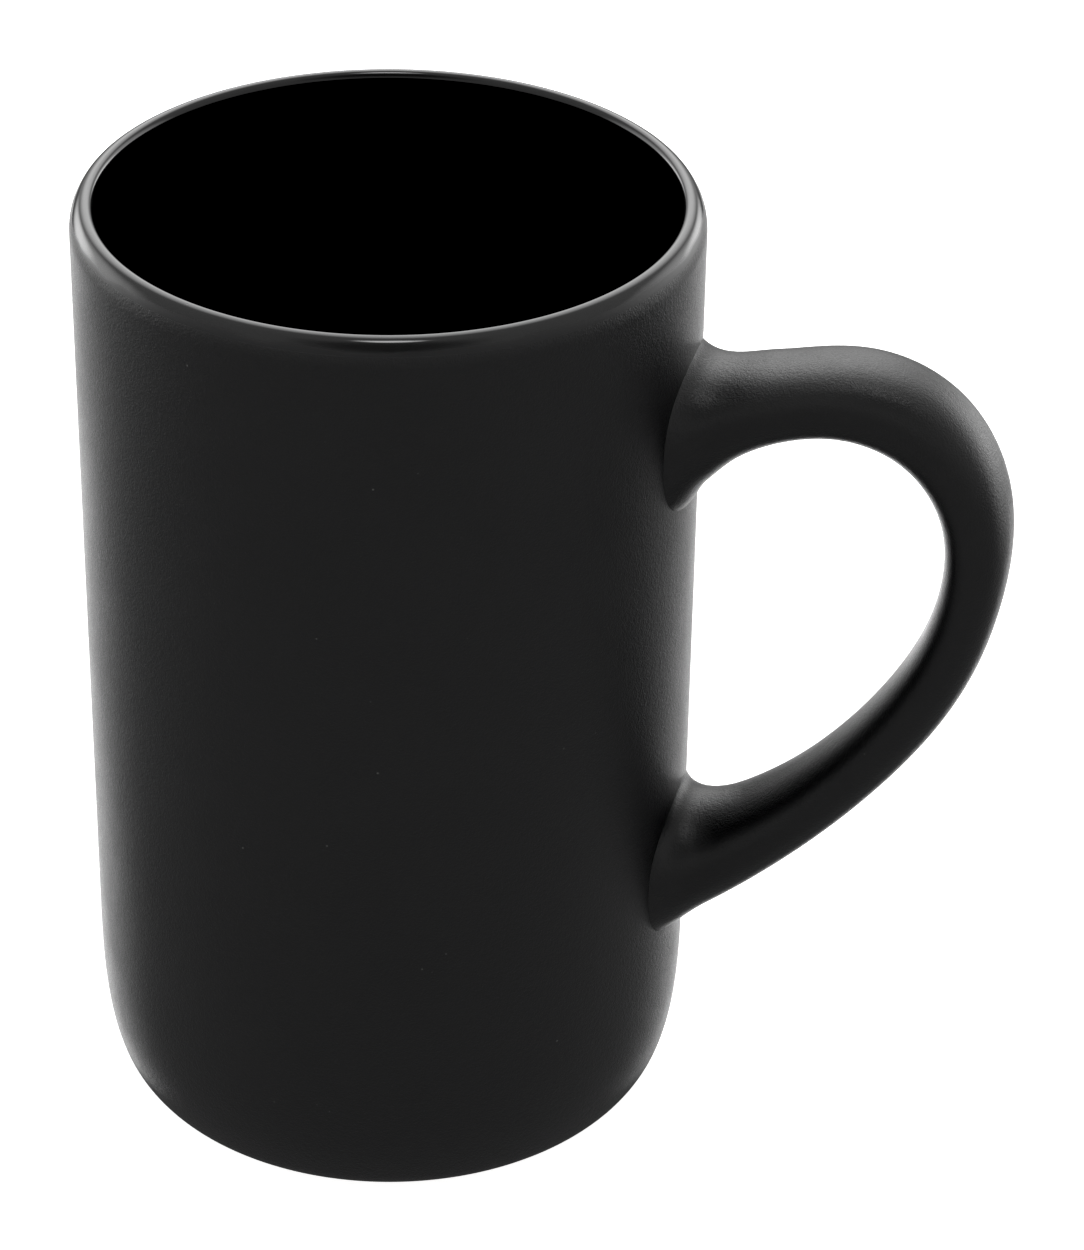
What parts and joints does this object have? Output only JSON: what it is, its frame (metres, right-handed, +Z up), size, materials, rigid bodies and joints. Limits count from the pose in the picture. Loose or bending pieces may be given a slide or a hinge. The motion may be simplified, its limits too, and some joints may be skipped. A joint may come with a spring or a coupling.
{
  "type": "ceramic mug",
  "caption": "Tall straight-sided stoneware mug with an ear handle, matte glazed outside and gloss glazed inside and over the lip.",
  "frame": {"origin": "on the table, under the middle of the mug's length from the back of the cup to the outside of the handle; the cup's own axis is at x = -0.02075", "axes": "+Z up along the cup's axis, +X from the cup towards the handle, Y across the handle's plane"},
  "size_m": [0.1214, 0.08, 0.13],
  "materials": {
    "bare_clay": "unglazed, fine grained",
    "slip": "unglazed",
    "matte_glaze": "matte to satin black, very fine grain",
    "gloss_glaze": "gloss black"
  },
  "bodies": {
    "root": {"cup_body": "bare_clay", "liner_glaze": "gloss_glaze", "cup_glaze": "matte_glaze", "base_glaze": "matte_glaze", "handle": "bare_clay", "upper_slip_joint": "slip", "lower_slip_joint": "slip", "handle_glaze": "matte_glaze"}
  },
  "joints": []
}
